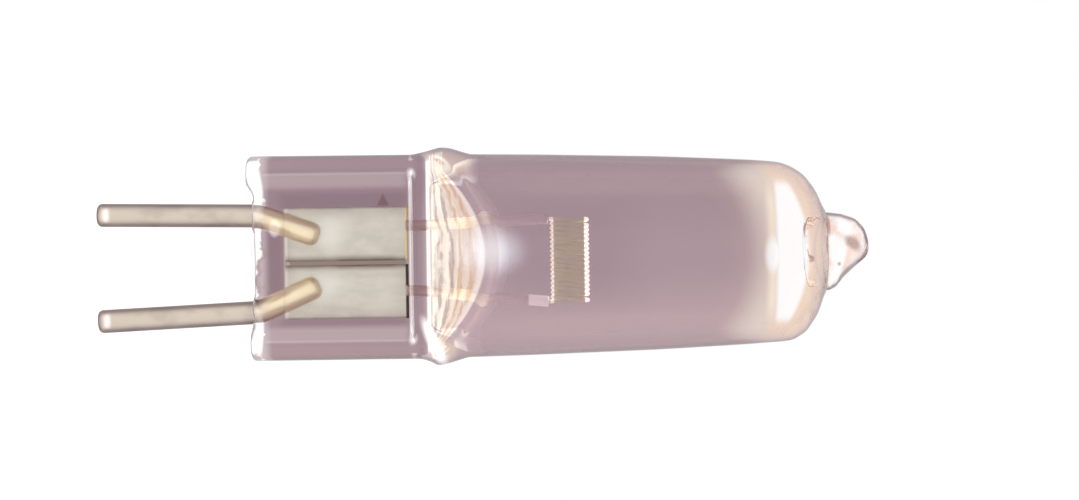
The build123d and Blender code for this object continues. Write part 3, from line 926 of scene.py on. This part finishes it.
def tinted_glass():
    """The outer skin of the glass. Its mauve is painted: it stands for a mauve surrounding seen through the quartz, and
    carries painted light and shade. It clears over the metal, turns to painted highlights on the melted rim, in the
    folds of the shoulder and on the dome, and to white with a blush on the tip. Light that enters takes the front
    colour, and light that leaves takes the plainer one behind it. The rim, the lines across, the blobs and the folds
    have a little painted light of their own, given as emission."""
    material, tree, shader = glass_shader("quartz_outer")
    x, y, z, vector = place_in_mm(tree)
    at = Spot(x, y, z, calc(tree, "ABSOLUTE", x), times(tree, x, x), vector)
    inside_out = tree.nodes.new("ShaderNodeNewGeometry").outputs["Backfacing"]
    entering = minus(tree, 1.0, inside_out)

    ground = mauve_ground(tree, at)
    over_metal = metal_layers(tree, at)
    rim, rim_shade, rim_glints = melted_rim(tree, at)
    recess_end, dots, collar, collar_blob = cross_lines(tree, at)
    t, facets, fold_light_and_shade = arch_folds(tree, at)
    glow, patches = shoulder_lights(tree, at)
    dome = plus(tree, z, times(tree, at.square, 0.06))
    tip = step_up(tree, z, 36.7, 37.1)
    low_edge = low_outline(tree, at, entering)

    # Front: the mauve with its painted light and shade, clear over the metal, with the painted highlights of the rim,
    # the lines, the folds, the glow, the patches and the dome.
    front = paint(
        tree, ground, *rail_layers(tree, at), *over_metal, speck_layer(tree, at), (rim_shade, 0.6, RIM_BROWN),
        (largest(tree, rim, rim_glints, recess_end, dots, collar), 1, WHITE), (facets, 1, fold_light_and_shade),
        (glow, 0.8, COOL_WHITE), (patches, 0.85, GOLD), (collar_blob, 1, WHITE),
        *dome_layers(tree, at, dome), *tip_layers(tree, at, tip),
    )
    # Behind: the same mauve, white at the melted end, the recess's end and the collar, with painted highlights in the
    # low folds, the glow and the patches, and white over the dome.
    clear_ends = largest(tree, step_down(tree, z, 0.0, 0.9), recess_end, dots, band(tree, z, 11.1, 11.9, 0.15))
    behind = paint(
        tree, ground, *over_metal, (clear_ends, 1, WHITE), (band(tree, t, 0.0, 0.35, 0.3), 1, CREAM),
        (glow, 0.58, COOL_WHITE), (largest(tree, collar_blob, patches), 1, WHITE),
        (step_up(tree, dome, 31.8, 34.8), 1, WHITE),
    )
    # Light that leaves takes the colour behind; then painted shade at the edges and along the outline of the melted
    # end.
    colour = paint(
        tree, front, (inside_out, 1, behind), *edge_layers(tree, at, entering, tip), (low_edge, 1, MAUVE_OUTLINE))
    link(tree, colour, shader.inputs["Base Color"])

    # Painted light, given as emission: a sparkle on the collar, its blob, the melted end's glints, the recess's end and
    # the rim, and a glow in the folds.
    sparkle = largest(
        tree, collar, collar_blob, times(tree, largest(tree, rim_glints, recess_end), 0.6), times(tree, rim, 0.3))
    sparkle = times(tree, sparkle, minus(tree, entering, low_edge))
    lit_folds = times(tree, facets, plus(tree, FOLD_GLOW, times(tree, entering, FOLD_GLOW_FRONT)))
    light = paint(tree, BLACK, (lit_folds, 1, fold_light_and_shade), (sparkle, 1, WHITE))
    link(tree, light, shader.inputs["Emission Color"])
    shader.inputs["Emission Strength"].default_value = GLASS_GLOW
    link(tree, bump(tree, noise(tree, vector, 0.5, 2), 0.03, 0.0002), shader.inputs["Normal"])
    return material


grain = wire_grain_group()
# The pins' glint near their outer end is a painted highlight given as emission, and their sides take painted shade.
pin_metal = wire_material(
    "pin_metal", grain, ((0.92, 0.80, 0.69), (0.80, 0.70, 0.61), 0.34, 0.5), 0.7,
    [((1.0, 0.86, 0.64), 0.0, 1.2)],
    [((0.55, 0.53, 0.56), -9.8, -9.45, 0.2, 0.34)],
)
# The leads carry painted light: their colour turns cream where they lie behind the bright folds and paler pink above,
# and their glints, the one at the right lead's end among them, are painted highlights given as emission.
LEAD_LOOK = ((0.90, 0.74, 0.70), (0.80, 0.65, 0.61), 0.35, 0.5)
LEAD_SHEEN = [((1.0, 0.96, 0.88), 11.0, 11.4), ((0.92, 0.84, 0.88), 14.8, 15.4)]
LEAD_GLINTS = [((0.30, 0.28, 0.24), 11.5, 14.3, 0.3, 4.0), ((0.06, 0.07, 0.06), 15.0, 18.9, 0.2, 4.0)]
RIGHT_LEAD_END_GLINT = ((0.40, 0.43, 0.41), 17.65, 20.0, 0.05, 4.0)
left_lead_metal = wire_material("left_lead_metal", grain, LEAD_LOOK, 0.0, LEAD_SHEEN, LEAD_GLINTS)
right_lead_metal = wire_material(
    "right_lead_metal", grain, LEAD_LOOK, 0.0, LEAD_SHEEN, [*LEAD_GLINTS, RIGHT_LEAD_END_GLINT])

# Pieces

OUTER_COLUMNS = 296
INNER_COLUMNS = 216
PIN_SIDES = 40
LEAD_SIDES = 28
COIL_STEPS = 30
COIL_SIDES = 9
PIN_ENDS = (0.34, 0.5)
LEAD_ENDS = (0.05, 0.12)
# Heights between which each wire is half round against its foil: the pins in front, the leads behind.
PIN_PRESSED = (1.9, 9.0)
LEAD_PRESSED = (7.0, 9.85)
FRONT, BEHIND = -1, 1
# Name, side, and x at the outer end and at the weld.
PINS = (("left", -1, -2.947, -1.365), ("right", 1, 3.96, 1.735))
# Name, x on the foil, x at the filament's leg, and metal.
LEADS = (("left", -2.0, -2.315, left_lead_metal), ("right", 2.2, 3.035, right_lead_metal))

outer_skin = closed_skin(glass_outside(OUTER_COLUMNS))
inner_skin = closed_skin(glass_inside(INNER_COLUMNS), inward=True)
glass = make_piece("quartz_glass", [outer_skin, inner_skin], "quartz_capsule", tinted_glass())
glass.data.materials.append(clear_glass())
outer_faces = len(outer_skin[1]) + len(outer_skin[2])
skin_number = np.arange(len(glass.data.polygons)) >= outer_faces
glass.data.polygons.foreach_set("material_index", skin_number.astype(np.int32))

for name, side, foot_x, weld_x in PINS:
    base_x = METAL_SHIFT + side * PIN_SPACING / 2
    line = bent((foot_x, -PIN_REACH), (base_x, PIN_BEND), (weld_x, PIN_WELD), 0.16)
    heights = rod_heights(-PIN_REACH, PIN_TOP, PIN_BEND, PIN_ENDS[0])
    rings = rod(line, heights, PIN_RADIUS, PIN_SIDES, FRONT, PIN_PRESSED, *PIN_ENDS)
    make_piece(f"{name}_pin_wire", [closed_skin(rings)], f"{name}_contact_pin", pin_metal)

for name, foot_x, leg_x, metal in LEADS:
    line = bent((foot_x, LEAD_FOOT), (foot_x, LEAD_BEND), (leg_x, LEAD_TOP), 0.2)
    heights = rod_heights(LEAD_FOOT, LEAD_TOP, LEAD_BEND, LEAD_ENDS[1])
    rings = rod(line, heights, LEAD_RADIUS, LEAD_SIDES, BEHIND, LEAD_PRESSED, *LEAD_ENDS)
    make_piece(f"{name}_lead_wire", [closed_skin(rings)], f"{name}_inner_lead", metal)

make_piece("coiled_filament", [closed_skin(coil_rings(COIL_STEPS, COIL_SIDES))], "filament",
           filament_material())

foil = foil_material()
for node in ("left_sealing_foil", "right_sealing_foil"):
    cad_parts[node].data.materials.clear()
    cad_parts[node].data.materials.append(foil)


# Stage, light and camera

LAMP_MIDDLE = Vector((0, 0, 0.018))
TABLE_HALF = 2
TABLE_HEIGHT = -0.022
PALE_GREY = (0.8, 0.8, 0.8)
AMBIENT_GREY = (0.65, 0.65, 0.65)


def seen_rays(tree):
    """1 for light that reaches the eye straight or through the glass, and 0.2 for what is seen in the gloss."""
    path = tree.nodes.new("ShaderNodeLightPath")
    return largest(tree, path.outputs["Is Camera Ray"], path.outputs["Is Transmission Ray"],
                   times(tree, path.outputs["Is Glossy Ray"], 0.2))


def pale_floor():
    """A wide pale table under the pins, with a white glow for the eye and through the glass, a fifth of it in the
    gloss. The glow is weaker near the lamp, which paints a soft grey shadow under it, where the lamp's own shadow also
    shows."""
    material, tree, shader = start_material("pale_table")
    seen = seen_rays(tree)
    link(tree, PALE_GREY, shader.inputs["Base Color"])
    shader.inputs["Roughness"].default_value = 0.9
    link(tree, (1, 1, 1), shader.inputs["Emission Color"])
    place = tree.nodes.new("ShaderNodeTexCoord")
    distance = tree.nodes.new("ShaderNodeVectorMath")
    distance.operation = "LENGTH"
    tree.links.new(place.outputs["Object"], distance.inputs[0])
    # Painted shadow: the glow dims within about 5 cm of the lamp's base.
    glow = plus(tree, 0.14, times(tree, step_up(tree, distance.outputs["Value"], 0.02, 0.052), 0.38))
    link(tree, times(tree, seen, glow), shader.inputs["Emission Strength"])
    mesh = bpy.data.meshes.new("table")
    corners = [(-1, -1), (1, -1), (1, 1), (-1, 1)]
    mesh.from_pydata([(TABLE_HALF * x, TABLE_HALF * y, TABLE_HEIGHT) for x, y in corners], [], [(0, 1, 2, 3)])
    mesh.materials.append(material)
    table = bpy.data.objects.new("table", mesh)
    bpy.context.scene.collection.objects.link(table)


def studio_world():
    """White to the camera and through the glass, a fifth of the way to white in the gloss, and grey as ambient
    light."""
    world = bpy.data.worlds.new("studio")
    bpy.context.scene.world = world
    world.use_nodes = True
    tree = world.node_tree
    tree.nodes.clear()
    background = tree.nodes.new("ShaderNodeBackground")
    output = tree.nodes.new("ShaderNodeOutputWorld")
    link(tree, blend_colour(tree, seen_rays(tree), AMBIENT_GREY, (1, 1, 1)), background.inputs["Color"])
    tree.links.new(background.outputs[0], output.inputs["Surface"])


def soft_light(name, place, size, power, colour):
    """A square area light aimed at the middle of the lamp, which isn't seen by the camera, in the gloss or through
    the glass."""
    light = bpy.data.lights.new(name, "AREA")
    light.shape, light.size, light.energy, light.color = "SQUARE", size, power, colour
    lamp = bpy.data.objects.new(name, light)
    lamp.location = place
    lamp.rotation_euler = (LAMP_MIDDLE - Vector(place)).to_track_quat("-Z", "Y").to_euler()
    lamp.visible_camera = False
    lamp.visible_glossy = lamp.visible_transmission = False
    bpy.context.scene.collection.objects.link(lamp)


pale_floor()
studio_world()
soft_light("front_softbox", (-0.16, -0.26, 0.14), 0.16, 0.22, (1, 0.99, 0.97))
soft_light("warm_top_light", (0.03, -0.05, 0.22), 0.10, 0.1, (1, 0.86, 0.66))
soft_light("low_fill", (0.18, -0.2, -0.01), 0.12, 0.07, (0.96, 0.97, 1))

# Light crosses many faces of the glass before it comes out.
BOUNCES = 32
light_paths = bpy.context.scene.cycles
light_paths.max_bounces = light_paths.glossy_bounces = light_paths.transmission_bounces = BOUNCES

# The camera looks along +Y at the flat of the pinch, rolled so that the lamp lies with its pins to the left,
# and its axis climbs to the right by 0.8 degrees.
TILT = radians(0.8)
CAMERA_DISTANCE = 0.1944
FOCAL_LENGTH = 100
SENSOR_WIDTH = 36
CENTRE_RIGHT = 18.385
CENTRE_UP = 0.5616
image_right = Vector((sin(TILT), 0, cos(TILT)))
image_up = Vector((-cos(TILT), 0, sin(TILT)))
view = bpy.data.cameras.new("camera")
view.lens, view.sensor_width, view.sensor_fit = FOCAL_LENGTH, SENSOR_WIDTH, "HORIZONTAL"
view.clip_start, view.clip_end = 0.01, 10
camera = bpy.data.objects.new("camera", view)
centre = image_right * CENTRE_RIGHT * MM + image_up * CENTRE_UP * MM
back = Vector((0, -1, 0))
camera.matrix_world = Matrix.Translation(centre + back * CAMERA_DISTANCE) @ Matrix(
    (image_right, image_up, back)).transposed().to_4x4()
bpy.context.scene.collection.objects.link(camera)
bpy.context.scene.camera = camera
bpy.context.scene.view_settings.view_transform = "Standard"
